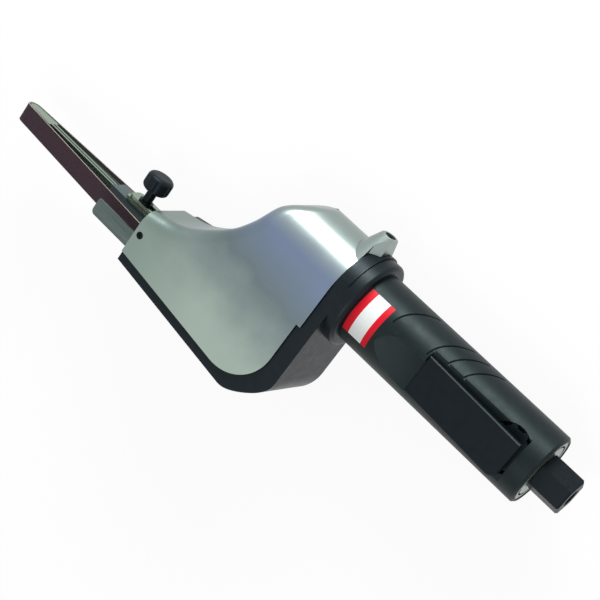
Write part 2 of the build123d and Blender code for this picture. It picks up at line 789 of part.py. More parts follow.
# Plan outlines of the housing; the cover stands inside the tray's raised rim
with BuildSketch() as cover_plan:
    with BuildLine():
        Polyline(
            (cover_rear, flank_y),
            (flank_x, flank_y),
            (saddle_x, saddle_y),
            (mouth_x, mouth_y),
            (mouth_x, belt_edge + cover_edge_mouth),
            (cover_rear + step_x, belt_edge + cover_edge_rear),
            (cover_rear + step_x, step_y),
            (cover_rear, step_y),
            close=True,
        )
    make_face()
    fillet(vertices().sort_by_distance((flank_x, flank_y))[0], flank_round)
    fillet(vertices().sort_by_distance((saddle_x, saddle_y))[0], saddle_round)
    fillet(vertices().sort_by_distance((cover_rear + step_x, belt_edge + cover_edge_rear))[0], cover_round)

with BuildSketch() as tray_plan:
    with BuildLine():
        Polyline(
            (wall_rear, flank_y),
            (flank_x, flank_y),
            (saddle_x, saddle_y + tray_inset),
            (mouth_x, mouth_y + tray_inset),
            (mouth_x, belt_edge + rim_edge_mouth),
            (wall_rear, belt_edge + rim_edge_rear),
            close=True,
        )
    make_face()
    fillet(vertices().sort_by_distance((flank_x, flank_y))[0], flank_round)
    fillet(vertices().sort_by_distance((saddle_x, saddle_y + tray_inset))[0], saddle_round)
    fillet(vertices().sort_by_distance((wall_rear, belt_edge + rim_edge_rear))[0], rim_round)

with BuildSketch() as tray_room:
    with BuildLine():
        Polyline(
            (cover_rear, flank_y),
            (flank_x, flank_y),
            (saddle_x, saddle_y + tray_inset),
            (mouth_x, mouth_y + tray_inset),
            (mouth_x, belt_edge + cover_edge_mouth),
            (cover_rear + step_x, belt_edge + cover_edge_rear),
            (cover_rear + step_x, step_y),
            (cover_rear, step_y),
            close=True,
        )
    make_face()
    fillet(vertices().sort_by_distance((flank_x, flank_y))[0], flank_round)
    fillet(vertices().sort_by_distance((saddle_x, saddle_y + tray_inset))[0], saddle_round)
    fillet(vertices().sort_by_distance((cover_rear + step_x, belt_edge + cover_edge_rear))[0], cover_round)

mouth_side = bracket_y - 2 * slip_gap
mouth_width = belt_y + belt_width / 2 + 1 - mouth_side


def crown_edges(edges):
    """The upper edges along the flank and the saddle, from the round gear case to the mouth."""
    return [
        e
        for e in edges
        if e.center().Z > split_z + cover_wall
        and flank_x < e.center().X < mouth_x - cover_wall
        and e.center().Y < mouth_y
        and abs(e.tangent_at(0.5).Z) < 0.95
        and abs(e.tangent_at(0.5).X) < 0.999
    ]


# Room outside the round gear case, on the far side of the handle's axis
with BuildPart() as case_outside:
    with BuildSketch(Plane.YZ.offset(wall_rear)):
        Rectangle(4 * case_radius, 4 * case_radius, align=(Align.MAX, Align.CENTER))
        Circle(case_radius, mode=Mode.SUBTRACT)
    extrude(amount=mouth_x - wall_rear)
with BuildPart() as cavity_outside:
    with BuildSketch(Plane.YZ.offset(wall_rear)):
        Rectangle(4 * case_radius, 4 * case_radius, align=(Align.MAX, Align.CENTER))
        Circle(case_radius - cover_wall, mode=Mode.SUBTRACT)
    extrude(amount=mouth_x - wall_rear)

# Cover: a crowned shell with the round gear case, the belt mouth and a clamp boss
with BuildPart() as cover_cavity:
    with BuildSketch(Plane.XY.offset(split_z)):
        offset(cover_plan.sketch, amount=-cover_wall, kind=Kind.INTERSECTION)
    extrude(amount=top_z - cover_wall - split_z)
    add(cavity_outside.part, mode=Mode.SUBTRACT)
    fillet(crown_edges(cover_cavity.edges()), crown_radius - cover_wall)

boss_end = -case_radius - boss_reach
with BuildPart() as belt_cover:
    with BuildSketch(Plane.XY.offset(split_z)):
        add(cover_plan.sketch)
    extrude(amount=top_z - split_z)
    add(case_outside.part, mode=Mode.SUBTRACT)
    fillet(crown_edges(belt_cover.edges()), crown_radius)
    with BuildSketch(side_plane(boss_end)):
        with Locations((boss_x, boss_z)):
            Circle(boss_radius)
    with BuildSketch(side_plane(boss_root - case_radius)):
        with Locations((boss_x, boss_z)):
            Circle(boss_base)
    loft()
    with BuildSketch(Plane.XY.offset(split_z)):
        with Locations((cover_rear, -case_radius)):
            Rectangle(4 * boss_base, 4 * boss_base)
    extrude(amount=-2 * boss_base, mode=Mode.SUBTRACT)
    boss_rim = belt_cover.edges().filter_by(GeomType.CIRCLE).sort_by(Axis.Y)[0]
    chamfer(boss_rim, boss_edge)
    add(cover_cavity.part, mode=Mode.SUBTRACT)
    with BuildSketch(Plane.YZ.offset(cover_rear)):
        Circle(max(-base_z, collar_radius) + cover_gap)
    extrude(amount=-2 * boss_base, mode=Mode.SUBTRACT)
    with BuildSketch(Plane.YZ.offset(mouth_x)):
        with Locations((mouth_side, split_z)):
            Rectangle(mouth_width, top_z - cover_wall - split_z, align=Align.MIN)
    extrude(amount=-4 * cover_wall, mode=Mode.SUBTRACT)
    with BuildSketch(Plane.YZ.offset(cover_rear)):
        Circle(bearing_radius + carrier_gap)
    extrude(amount=2 * cover_wall, mode=Mode.SUBTRACT)
    with BuildSketch(side_plane(boss_end)):
        with Locations((boss_x, boss_z)):
            Circle(clamp_head + slip_gap)
    extrude(amount=-clamp_recess - clamp_head_length, mode=Mode.SUBTRACT)
    with BuildSketch(side_plane(boss_end)):
        with Locations((boss_x, boss_z)):
            Circle(clamp_shank + seat_gap)
    extrude(amount=-clamp_length, mode=Mode.SUBTRACT)
    with Locations((guard_screw_x, guard_screw_y, top_z)):
        CounterBoreHole(
            guard_screw_shank + seat_gap,
            guard_screw_head + seat_gap,
            guard_screw_recess + guard_screw_head_length,
            2 * cover_wall,
        )
belt_cover.part.label = "belt_cover"
export_step(belt_cover.part, "parts/belt_cover.step")

# Clamp screw sunk in the boss
clamp_seat = boss_end + clamp_recess + clamp_head_length
with BuildPart() as clamp_screw:
    with BuildSketch(side_plane(clamp_seat)):
        with Locations((boss_x, boss_z)):
            Circle(clamp_head)
    extrude(amount=clamp_head_length)
    with BuildSketch(side_plane(boss_end + clamp_length)):
        with Locations((boss_x, boss_z)):
            Circle(clamp_shank)
    extrude(amount=boss_end + clamp_length - clamp_seat)
    with BuildSketch(side_plane(clamp_seat - clamp_head_length)):
        with Locations((boss_x, boss_z)):
            RegularPolygon(clamp_shank, 6)
    extrude(amount=-clamp_head_length / 2, mode=Mode.SUBTRACT)
clamp_screw.part.label = "clamp_screw"
export_step(clamp_screw.part, "parts/clamp_screw.step")

# Base tray: floor, walls up to the split line, and a raised rim behind and beside the cover
with BuildPart() as tray_outside:
    with BuildSketch(Plane.YZ.offset(wall_rear)):
        Rectangle(4 * case_radius, 4 * case_radius, align=(Align.MAX, Align.CENTER))
        Circle(-base_z, mode=Mode.SUBTRACT)
    extrude(amount=mouth_x - wall_rear)
with BuildPart() as tray_cavity:
    with BuildSketch(Plane.XY.offset(floor_z)):
        offset(tray_room.sketch, amount=-tray_wall, kind=Kind.INTERSECTION)
    extrude(amount=split_z - floor_z)
    with BuildSketch(Plane.YZ.offset(wall_rear)):
        Rectangle(4 * case_radius, 4 * case_radius, align=(Align.MAX, Align.CENTER))
        Circle(-base_z - tray_wall, mode=Mode.SUBTRACT)
    extrude(amount=mouth_x - wall_rear, mode=Mode.SUBTRACT)

with BuildPart() as base_tray:
    with BuildSketch(Plane.XY.offset(base_z)):
        add(tray_plan.sketch)
    extrude(amount=top_z - rim_drop - base_z)
    add(tray_outside.part, mode=Mode.SUBTRACT)
    with BuildSketch(Plane.XY.offset(split_z)):
        offset(cover_plan.sketch, amount=cover_gap, kind=Kind.INTERSECTION)
    extrude(amount=top_z - split_z, mode=Mode.SUBTRACT)
    add(tray_cavity.part, mode=Mode.SUBTRACT)
    with BuildSketch(Plane.YZ.offset(mouth_x)):
        with Locations((mouth_side, floor_z)):
            Rectangle(mouth_width, split_z - floor_z, align=Align.MIN)
    extrude(amount=-4 * tray_wall, mode=Mode.SUBTRACT)
    with BuildSketch(Plane.YZ.offset(wall_rear)):
        Circle(bearing_radius + seat_gap)
    extrude(amount=rear_wall_length - 1, mode=Mode.SUBTRACT)
    with BuildSketch(Plane.YZ.offset(cover_rear - 1)):
        Circle(bearing_radius - 2)
    extrude(amount=4 * tray_wall, mode=Mode.SUBTRACT)
base_tray.part.label = "base_tray"
export_step(base_tray.part, "parts/base_tray.step")

# Guard tongue under the cover's top, above the belt's upper run, and its screw
guard_top = top_z - cover_wall
with BuildPart() as belt_guard:
    with BuildSketch(Plane.XY.offset(guard_top)):
        with Locations((mouth_x + slip_gap, belt_y + guard_inner)):
            Rectangle(guard_reach, guard_outer - guard_inner, align=Align.MIN)
        tip = mouth_x + guard_reach
        fillet(vertices().sort_by_distance((tip, belt_y + guard_outer))[0], guard_corner)
        fillet(vertices().sort_by_distance((tip, belt_y + guard_inner))[0], guard_inner_corner)
        with Locations((mouth_x + 2 * slip_gap, belt_y + guard_neck)):
            Rectangle(
                guard_lap,
                mouth_side + mouth_width - slip_gap - belt_y - guard_neck,
                align=(Align.MAX, Align.MIN),
            )
        with Locations((guard_screw_x, guard_screw_y)):
            Circle(guard_screw_shank + seat_gap, mode=Mode.SUBTRACT)
    extrude(amount=-guard_thickness)
belt_guard.part.label = "belt_guard"
export_step(belt_guard.part, "parts/belt_guard.step")

screw_top = top_z - guard_screw_recess
with BuildPart() as guard_screw:
    with BuildSketch(Plane.XY.offset(screw_top)):
        with Locations((guard_screw_x, guard_screw_y)):
            Circle(guard_screw_head)
    extrude(amount=-guard_screw_head_length)
    with BuildSketch(Plane.XY.offset(screw_top - guard_screw_head_length)):
        with Locations((guard_screw_x, guard_screw_y)):
            Circle(guard_screw_shank)
    extrude(amount=guard_top - guard_thickness - screw_top + guard_screw_head_length)
    with BuildSketch(Plane.XY.offset(screw_top)):
        with Locations((guard_screw_x, guard_screw_y)):
            RegularPolygon(guard_screw_shank, 6)
    extrude(amount=-guard_screw_head_length / 2, mode=Mode.SUBTRACT)
guard_screw.part.label = "guard_screw"
export_step(guard_screw.part, "parts/guard_screw.step")

# Arm bracket: a side plate on a foot in the tray, slotted for the clamp knob and the guide pin
slot_height = knob_stem + slip_gap
pin_slot = guide_pin_radius + slip_gap
with BuildPart() as arm_bracket:
    with BuildSketch(side_plane(bracket_y + bracket_thickness)):
        with BuildLine():
            Polyline(
                (bracket_rear, floor_z),
                (bracket_rear + bracket_foot, floor_z),
                (bracket_rear + bracket_foot, -bracket_half),
                (bracket_front, -bracket_half),
                (bracket_front, arm_top),
                (bracket_rear, arm_top),
                close=True,
            )
        make_face()
        fillet(vertices().group_by(Axis.X)[-1], arm_corner)
        with Locations((knob_x - arm_travel / 2, 0)):
            SlotCenterToCenter(arm_travel, 2 * slot_height, mode=Mode.SUBTRACT)
        with Locations((guide_pin_x - arm_travel / 2, 0)):
            SlotCenterToCenter(arm_travel, 2 * pin_slot, mode=Mode.SUBTRACT)
    extrude(amount=bracket_thickness)
    with BuildSketch(Plane.XY.offset(floor_z)):
        with Locations((bracket_rear, bracket_y)):
            Rectangle(bracket_foot, guide_pin_reach, align=(Align.MIN, Align.MAX))
    extrude(amount=bracket_thickness)
    with BuildSketch(side_plane(bracket_y)):
        with Locations((bracket_rear, floor_z)):
            Rectangle(bracket_thickness, 2 * pin_slot - floor_z, align=Align.MIN)
    extrude(amount=guide_pin_reach)
arm_bracket.part.label = "arm_bracket"
export_step(arm_bracket.part, "parts/arm_bracket.step")

# Arm plate: slides on the bracket beside the belt
with BuildPart() as arm_plate:
    with BuildSketch(side_plane(arm_y + arm_thickness)):
        with Locations((arm_rear, -bracket_half)):
            Rectangle(arm_front - arm_rear, arm_top + bracket_half, align=Align.MIN)
        fillet(vertices().group_by(Axis.X)[-1], arm_corner)
        with Locations((knob_x, 0)):
            Circle(knob_stem + run_gap, mode=Mode.SUBTRACT)
        with Locations((guide_pin_x, 0)):
            Circle(guide_pin_radius + seat_gap, mode=Mode.SUBTRACT)
    extrude(amount=arm_thickness)
arm_plate.part.label = "arm_plate"
export_step(arm_plate.part, "parts/arm_plate.step")

with BuildPart() as guide_pin:
    with BuildSketch(side_plane(bar_y)):
        with Locations((guide_pin_x, 0)):
            Circle(guide_pin_radius)
    extrude(amount=bar_y - bracket_y + guide_pin_reach - slip_gap)
guide_pin.part.label = "guide_pin"
export_step(guide_pin.part, "parts/guide_pin.step")

# Tension spring between the bracket's lug and the guide pin
spring_y = bracket_y - guide_pin_reach / 2
with BuildPart() as tension_spring:
    with BuildSketch(Plane.YZ.offset(bracket_rear + bracket_thickness)):
        with Locations((spring_y, 0)):
            Circle(tension_spring_radius)
            Circle(tension_spring_radius - tension_spring_wire, mode=Mode.SUBTRACT)
    extrude(amount=guide_pin_x - guide_pin_radius - bracket_rear - bracket_thickness - slip_gap)
tension_spring.part.label = "tension_spring"
export_step(tension_spring.part, "parts/tension_spring.step")

# Arm shank inside the belt loop, on the arm plate; the platen under it backs the lower run
platen_low = [(x, slip_gap - run_height(x)) for x in (shank_rear, shank_front, nose_rear, bar_front)]
platen_high = [(x, z + platen_thickness) for x, z in platen_low]
with BuildPart() as arm_shank:
    with BuildSketch(side_plane(bar_y + shank_width)):
        with BuildLine():
            Polyline(
                platen_high[0],
                platen_high[1],
                (shank_front, shank_top),
                (shank_rear, shank_top),
                close=True,
            )
        make_face()
    extrude(amount=shank_width)
arm_shank.part.label = "arm_shank"
export_step(arm_shank.part, "parts/arm_shank.step")

with BuildPart() as platen:
    with BuildSketch(side_plane(platen_side + platen_width)):
        with BuildLine():
            Polyline(platen_low[0], platen_low[3], platen_high[3], platen_high[0], close=True)
        make_face()
    extrude(amount=platen_width)
platen.part.label = "platen"
export_step(platen.part, "parts/platen.step")

# Arm bar: a slim fluted bar from the shank to a nose, whose cheek carries the idler's axle
nose_top = [(x, run_height(x) - nose_gap) for x in (nose_rear, bar_front)]
with BuildPart() as arm_bar:
    with BuildSketch(side_plane(bar_side + bar_width)):
        with Locations((shank_front, 0)):
            Rectangle(nose_rear - shank_front, 2 * bar_half, align=(Align.MIN, Align.CENTER))
        with BuildLine():
            Polyline(platen_high[2], platen_high[3], nose_top[1], nose_top[0], close=True)
        make_face()
    extrude(amount=bar_width)
    with BuildSketch(side_plane(bar_side + cheek_thickness)):
        with BuildLine():
            Polyline(
                (nose_rear, -nose_top[0][1]),
                (idler_x, -nose_radius),
                (idler_x, nose_radius),
                nose_top[0],
                close=True,
            )
        make_face()
        with Locations((idler_x, 0)):
            Circle(nose_radius)
    extrude(amount=cheek_thickness)
    with BuildSketch(side_plane(bar_side + cheek_thickness)):
        with Locations((idler_x, 0)):
            Circle(axle_radius + seat_gap)
    extrude(amount=cheek_thickness / 2, mode=Mode.SUBTRACT)
    with BuildSketch(side_plane(bar_side + flute_depth)):
        with Locations((shank_front, 0)):
            Rectangle(nose_rear - shank_front, flute_width, align=(Align.MIN, Align.CENTER))
    extrude(amount=flute_depth, mode=Mode.SUBTRACT)
arm_bar.part.label = "arm_bar"
export_step(arm_bar.part, "parts/arm_bar.step")

# Clamp knob: a rounded, scalloped head on a stem that screws into the arm plate, over a washer
knob_end = bracket_y - slip_gap - washer_length - knob_stem_length
with BuildPart() as arm_knob:
    with BuildSketch(Plane.XY):
        with Locations((knob_x, knob_end)):
            Rectangle(knob_head, knob_head_length, align=(Align.MIN, Align.MAX))
        fillet(vertices().group_by(Axis.X)[-1], knob_round)
    revolve(axis=Axis((knob_x, 0, 0), (0, 1, 0)))
    with BuildSketch(side_plane(knob_end)):
        with Locations((knob_x, 0)):
            with PolarLocations(knob_head + knob_lobe, knob_lobes):
                Circle(knob_scallop)
    extrude(amount=knob_head_length, mode=Mode.SUBTRACT)
    with BuildSketch(side_plane(bar_y - slip_gap)):
        with Locations((knob_x, 0)):
            Circle(knob_stem)
    extrude(amount=bar_y - slip_gap - knob_end)
arm_knob.part.label = "arm_knob"
export_step(arm_knob.part, "parts/arm_knob.step")

with BuildPart() as knob_washer:
    with BuildSketch(side_plane(bracket_y - slip_gap)):
        with Locations((knob_x, 0)):
            Circle(washer_radius)
            Circle(knob_stem + seat_gap, mode=Mode.SUBTRACT)
    extrude(amount=washer_length)
knob_washer.part.label = "knob_washer"
export_step(knob_washer.part, "parts/knob_washer.step")
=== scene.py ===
import json
import math

import bmesh
import bpy
from mathutils import Matrix, Vector


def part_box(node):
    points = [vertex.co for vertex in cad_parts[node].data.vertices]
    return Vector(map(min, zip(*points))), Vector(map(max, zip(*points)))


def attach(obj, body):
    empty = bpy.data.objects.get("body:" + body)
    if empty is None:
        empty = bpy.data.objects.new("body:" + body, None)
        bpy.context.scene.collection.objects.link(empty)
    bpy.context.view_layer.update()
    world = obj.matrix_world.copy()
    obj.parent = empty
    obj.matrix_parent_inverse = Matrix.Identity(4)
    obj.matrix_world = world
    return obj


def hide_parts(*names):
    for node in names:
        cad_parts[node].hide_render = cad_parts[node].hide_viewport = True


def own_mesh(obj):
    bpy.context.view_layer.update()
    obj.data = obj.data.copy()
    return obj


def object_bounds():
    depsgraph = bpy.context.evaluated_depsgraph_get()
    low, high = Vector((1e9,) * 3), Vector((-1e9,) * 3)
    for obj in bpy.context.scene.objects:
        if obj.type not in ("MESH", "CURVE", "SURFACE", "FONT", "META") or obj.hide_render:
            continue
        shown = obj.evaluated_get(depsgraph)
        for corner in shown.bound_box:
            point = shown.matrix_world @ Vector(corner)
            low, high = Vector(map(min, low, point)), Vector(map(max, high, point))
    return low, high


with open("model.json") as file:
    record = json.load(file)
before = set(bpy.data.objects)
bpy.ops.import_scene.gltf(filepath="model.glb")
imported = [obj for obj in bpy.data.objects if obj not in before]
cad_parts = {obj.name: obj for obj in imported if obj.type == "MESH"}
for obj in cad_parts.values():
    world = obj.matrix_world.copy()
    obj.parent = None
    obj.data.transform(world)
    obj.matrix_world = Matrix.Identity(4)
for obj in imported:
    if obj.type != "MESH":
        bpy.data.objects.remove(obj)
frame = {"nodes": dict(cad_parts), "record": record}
cad_low, cad_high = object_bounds()
nodes = frame["nodes"]

# Places taken from the model, in metres
FLOOR_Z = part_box("base_tray")[0].z
LABEL_LOW, LABEL_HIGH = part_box("label_band")
PULLEY_X = 0.210
IDLER_X = 0.4227
COVER_REAR = 0.1734
MOTOR_BORE = 0.017

# Tolerances of the mesh edits, in metres
WELD = 1e-6
ON_PLANE = 1e-7
SLOPE_STEP = 0.00005


# Shader helpers

def new_material(name):
    """A node material with its tree, its principled shader and its texture coordinates."""
    material = bpy.data.materials.new(name)
    material.use_nodes = True
    tree = material.node_tree
    shader = tree.nodes["Principled BSDF"]
    coords = tree.nodes.new("ShaderNodeTexCoord")
    return material, tree, shader, coords


def feed(tree, value, socket):
    """Give a socket a number, a colour triple or another socket's value."""
    if isinstance(value, (int, float)):
        socket.default_value = value
    elif isinstance(value, tuple):
        socket.default_value = (*value, 1.0)
    else:
        tree.links.new(value, socket)


def mapped(tree, coords, scale=(1, 1, 1)):
    """Object coordinates stretched by a scale per axis."""
    mapping = tree.nodes.new("ShaderNodeMapping")
    mapping.inputs["Scale"].default_value = scale
    tree.links.new(coords.outputs["Object"], mapping.inputs["Vector"])
    return mapping.outputs["Vector"]


def axes(tree, vector):
    """The X, Y and Z values of a vector socket."""
    node = tree.nodes.new("ShaderNodeSeparateXYZ")
    tree.links.new(vector, node.inputs["Vector"])
    return [node.outputs[axis] for axis in "XYZ"]


def noise(tree, vector, scale, detail=4.0, roughness=0.55):
    """Noise value from a vector."""
    node = tree.nodes.new("ShaderNodeTexNoise")
    node.inputs["Scale"].default_value = scale
    node.inputs["Detail"].default_value = detail
    node.inputs["Roughness"].default_value = roughness
    tree.links.new(vector, node.inputs["Vector"])
    return node.outputs["Fac"]


def ramp(tree, value, stops, interpolation="LINEAR"):
    """Colour ramp over a value; stops are (position, colour)."""
    node = tree.nodes.new("ShaderNodeValToRGB")
    node.color_ramp.interpolation = interpolation
    while len(node.color_ramp.elements) < len(stops):
        node.color_ramp.elements.new(0.5)
    for element, (position, colour) in zip(node.color_ramp.elements, stops):
        element.position = position
        element.color = (*colour, 1.0)
    tree.links.new(value, node.inputs["Fac"])
    return node.outputs["Color"]


def spread(tree, value, low, high, start=0.3, end=0.7):
    """Map a value from start..end to low..high, held at both ends; the defaults suit a noise."""
    node = tree.nodes.new("ShaderNodeMapRange")
    node.inputs["From Min"].default_value = start
    node.inputs["From Max"].default_value = end
    node.inputs["To Min"].default_value = low
    node.inputs["To Max"].default_value = high
    tree.links.new(value, node.inputs["Value"])
    return node.outputs["Result"]


def math_node(tree, operation, first, second=None):
    """One math step; inputs are sockets or numbers."""
    node = tree.nodes.new("ShaderNodeMath")
    node.operation = operation
    for socket, value in zip(node.inputs, (first, second)):
        if value is not None:
            feed(tree, value, socket)
    return node.outputs["Value"]


def mix_colour(tree, factor, first, second, blend="MIX"):
    """Mix two colours, each a socket or a triple, by a factor that is a socket or a number."""
    node = tree.nodes.new("ShaderNodeMix")
    node.data_type = "RGBA"
    node.blend_type = blend
    wanted = {("Factor", "VALUE"): factor, ("A", "RGBA"): first, ("B", "RGBA"): second}
    for socket in node.inputs:
        value = wanted.get((socket.name, socket.type))
        if value is not None:
            feed(tree, value, socket)
    return [socket for socket in node.outputs if socket.type == "RGBA"][0]


def bump(tree, shader, height, strength, distance):
    """Bump on a shader from a height socket, the distance in metres."""
    node = tree.nodes.new("ShaderNodeBump")
    node.inputs["Strength"].default_value = strength
    node.inputs["Distance"].default_value = distance
    tree.links.new(height, node.inputs["Height"])
    tree.links.new(node.outputs["Normal"], shader.inputs["Normal"])


# Materials

GRAIN_SCALE = 2600.0
DRIFT_SHARE, GRAIN_SHARE = 0.6, 0.4


def drift_and_grain(tree, drift, fine):
    """One value from a slow drift and a fine grain."""
    slow = math_node(tree, "MULTIPLY", drift, DRIFT_SHARE)
    quick = math_node(tree, "MULTIPLY", fine, GRAIN_SHARE)
    return math_node(tree, "ADD", slow, quick)


def grained(name, dark, light, rough, metallic=0.0, specular=0.5, stretch=(1, 1, 1), colour_scale=220.0,
            grain_scale=GRAIN_SCALE, grain=0.12, depth=0.00006, tint=(1, 1, 1)):
    """A surface with a slow colour drift, a fine grain, and a roughness that follows both."""
    material, tree, shader, coords = new_material(name)
    vector = mapped(tree, coords, stretch)
    drift = noise(tree, vector, colour_scale, detail=5)
    fine = noise(tree, vector, grain_scale, detail=3)
    both = drift_and_grain(tree, drift, fine)
    tree.links.new(ramp(tree, both, [(0.34, dark), (0.66, light)]), shader.inputs["Base Color"])
    tree.links.new(spread(tree, both, *rough), shader.inputs["Roughness"])
    shader.inputs["Metallic"].default_value = metallic
    shader.inputs["Specular IOR Level"].default_value = specular
    shader.inputs["Specular Tint"].default_value = (*tint, 1)
    bump(tree, shader, fine, strength=grain, distance=depth)
    return material


def turned(name, dark, light, rough):
    """Machined face with fine rings about the handle's axis."""
    material, tree, shader, coords = new_material(name)
    _, y, z = axes(tree, coords.outputs["Object"])
    squares = [math_node(tree, "POWER", value, 2.0) for value in (y, z)]
    radius = math_node(tree, "SQRT", math_node(tree, "ADD", *squares))
    rings = tree.nodes.new("ShaderNodeTexNoise")
    rings.noise_dimensions = "1D"
    rings.inputs["Scale"].default_value = GRAIN_SCALE
    rings.inputs["Detail"].default_value = 3.0
    tree.links.new(radius, rings.inputs["W"])
    ring = rings.outputs["Fac"]
    tree.links.new(ramp(tree, ring, [(0.3, dark), (0.7, light)]), shader.inputs["Base Color"])
    tree.links.new(spread(tree, ring, *rough), shader.inputs["Roughness"])
    shader.inputs["Metallic"].default_value = 1.0
    bump(tree, shader, ring, strength=0.15, distance=0.00005)
    return material


# Where the cover's painted reflection tint and its darkening change, from and to, in metres
REFLECTION_TINT_ACROSS = (-0.010, 0.080)       # along Y
REFLECTION_TINT_FORWARD = (0.174, 0.296)       # along X, for the smaller part of the change
REFLECTION_TINT_FORWARD_SHARE = 0.2            # of the change across
FLAT_FROM_ROUND = (-0.018, -0.006)  # along Y, from the round case to the flat
DARKER_TO_MOUTH = (0.235, 0.290)      # along X


def cast_with_painted_reflection(name):
    """Blasted cast alloy with a painted reflection in its colour: bluer on the flat's rear, lighter and greener
    toward the belt; darker toward the mouth.
    """
    blue, grey, green = (0.172, 0.224, 0.325), (0.148, 0.190, 0.205), (0.330, 0.400, 0.355)
    case, full, darkest = (0.270, 0.325, 0.310), (1.0, 1.0, 1.0), (0.68, 0.74, 0.74)
    material, tree, shader, coords = new_material(name)
    x, y, _ = axes(tree, coords.outputs["Object"])
    plain = mapped(tree, coords)
    drift = noise(tree, plain, scale=45.0, detail=5)
    fine = noise(tree, plain, GRAIN_SCALE, detail=3)

    across = spread(tree, y, 0.0, 1.0, *REFLECTION_TINT_ACROSS)
    forward = spread(tree, x, 0.0, REFLECTION_TINT_FORWARD_SHARE, *REFLECTION_TINT_FORWARD)
    clouds = spread(tree, drift, low=-0.06, high=0.06)
    place = math_node(tree, "ADD", math_node(tree, "ADD", across, forward), clouds)
    # Painted reflection: blue on the flat's rear, then grey, then a lighter green toward the belt
    flat = ramp(tree, place, [(0.10, blue), (0.42, grey), (0.92, green)])
    on_flat = spread(tree, y, 0.0, 1.0, *FLAT_FROM_ROUND)
    shade = mix_colour(tree, on_flat, case, flat)
    # Colour made darker toward the mouth
    toward_mouth = spread(tree, x, 0.0, 1.0, *DARKER_TO_MOUTH)
    darkening = ramp(tree, toward_mouth, [(0.0, full), (1.0, darkest)])
    shade = mix_colour(tree, 1.0, shade, darkening, "MULTIPLY")

    tree.links.new(shade, shader.inputs["Base Color"])
    both = drift_and_grain(tree, drift, fine)
    tree.links.new(spread(tree, both, low=0.28, high=0.38), shader.inputs["Roughness"])
    shader.inputs["Metallic"].default_value = 1.0
    bump(tree, shader, fine, strength=0.07, distance=0.00006)
    return material


def wrap_label(name):
    """Blank wrap label: a red, a white and a red band along the handle."""
    red, white = (0.58, 0.003, 0.016), (0.70, 0.73, 0.72)
    material, tree, shader, coords = new_material(name)
    x, _, _ = axes(tree, coords.outputs["Object"])
    along = spread(tree, x, 0.0, 1.0, LABEL_LOW.x, LABEL_HIGH.x)
    bands = ramp(tree, along, [(0.0, red), (0.21, white), (0.74, red)], "CONSTANT")
    fibres = noise(tree, mapped(tree, coords), scale=1500.0)
    worn = ramp(tree, fibres, [(0.35, (0.90, 0.90, 0.90)), (0.65, (1.0, 1.0, 1.0))])
    tree.links.new(mix_colour(tree, 1.0, bands, worn, "MULTIPLY"), shader.inputs["Base Color"])
    tree.links.new(spread(tree, fibres, low=0.42, high=0.55), shader.inputs["Roughness"])
    shader.inputs["Specular IOR Level"].default_value = 0.18
    bump(tree, shader, fibres, strength=0.05, distance=0.00003)
    return material


EDGE_FACING = 0.7           # a face of the belt turned further than this along Y is its cut edge
WEAR_STRETCH = (30, 260, 30)
SPLICE_X, SPLICE_SLANT, SPLICE_HALF = 0.300, 0.6, 0.0004    # place, slope in X over Y, half width


def abrasive(name):
    """Coated belt: grit outside, woven backing inside, a pale cut edge, and a slanted splice."""
    material, tree, shader, coords = new_material(name)
    x, y, z = axes(tree, coords.outputs["Object"])

    # Outside or inside: the normal against the line between the two wheels
    middle_x = spread(tree, x, PULLEY_X, IDLER_X, PULLEY_X, IDLER_X)
    away = tree.nodes.new("ShaderNodeCombineXYZ")
    tree.links.new(math_node(tree, "SUBTRACT", x, middle_x), away.inputs["X"])
    tree.links.new(z, away.inputs["Z"])
    dot = tree.nodes.new("ShaderNodeVectorMath")
    dot.operation = "DOT_PRODUCT"
    tree.links.new(away.outputs["Vector"], dot.inputs[0])
    tree.links.new(coords.outputs["Normal"], dot.inputs[1])
    outside = math_node(tree, "GREATER_THAN", dot.outputs["Value"], 0.0)
    _, facing_y, _ = axes(tree, coords.outputs["Normal"])
    edge = math_node(tree, "GREATER_THAN", math_node(tree, "ABSOLUTE", facing_y), EDGE_FACING)

    # Grit
    plain = mapped(tree, coords)
    grit = tree.nodes.new("ShaderNodeTexVoronoi")
    grit.inputs["Scale"].default_value = GRAIN_SCALE
    tree.links.new(plain, grit.inputs["Vector"])
    worn = noise(tree, mapped(tree, coords, WEAR_STRETCH), scale=1.0, detail=5)
    grains = ramp(tree, grit.outputs["Distance"], [(0.1, (0.047, 0.025, 0.034)), (0.6, (0.022, 0.012, 0.017))])
    streaks = ramp(tree, worn, [(0.35, (0.80, 0.80, 0.80)), (0.65, (1.18, 1.12, 1.12))])
    coated = mix_colour(tree, 1.0, grains, streaks, "MULTIPLY")

    # Splice across the coated side
    slant = math_node(tree, "ADD", x, math_node(tree, "MULTIPLY", y, SPLICE_SLANT))
    near = math_node(tree, "ABSOLUTE", math_node(tree, "SUBTRACT", slant, SPLICE_X))
    splice = math_node(tree, "LESS_THAN", near, SPLICE_HALF)
    coated = mix_colour(tree, splice, coated, (0.030, 0.018, 0.022))

    # Backing weave and frayed edge
    weave = tree.nodes.new("ShaderNodeTexWave")
    weave.inputs["Scale"].default_value = 900.0
    weave.inputs["Distortion"].default_value = 1.5
    tree.links.new(plain, weave.inputs["Vector"])
    backing = ramp(tree, weave.outputs["Fac"], [(0.2, (0.026, 0.031, 0.025)), (0.8, (0.034, 0.039, 0.032))])
    frayed = ramp(tree, worn, [(0.35, (0.20, 0.17, 0.15)), (0.65, (0.33, 0.29, 0.26))])

    faces = mix_colour(tree, outside, backing, coated)
    tree.links.new(mix_colour(tree, edge, faces, frayed), shader.inputs["Base Color"])
    tree.links.new(spread(tree, worn, low=0.70, high=0.92), shader.inputs["Roughness"])
    shader.inputs["Specular IOR Level"].default_value = 0.25
    raised = math_node(tree, "MULTIPLY", grit.outputs["Distance"], outside)
    bump(tree, shader, raised, strength=0.5, distance=0.00018)
    return material


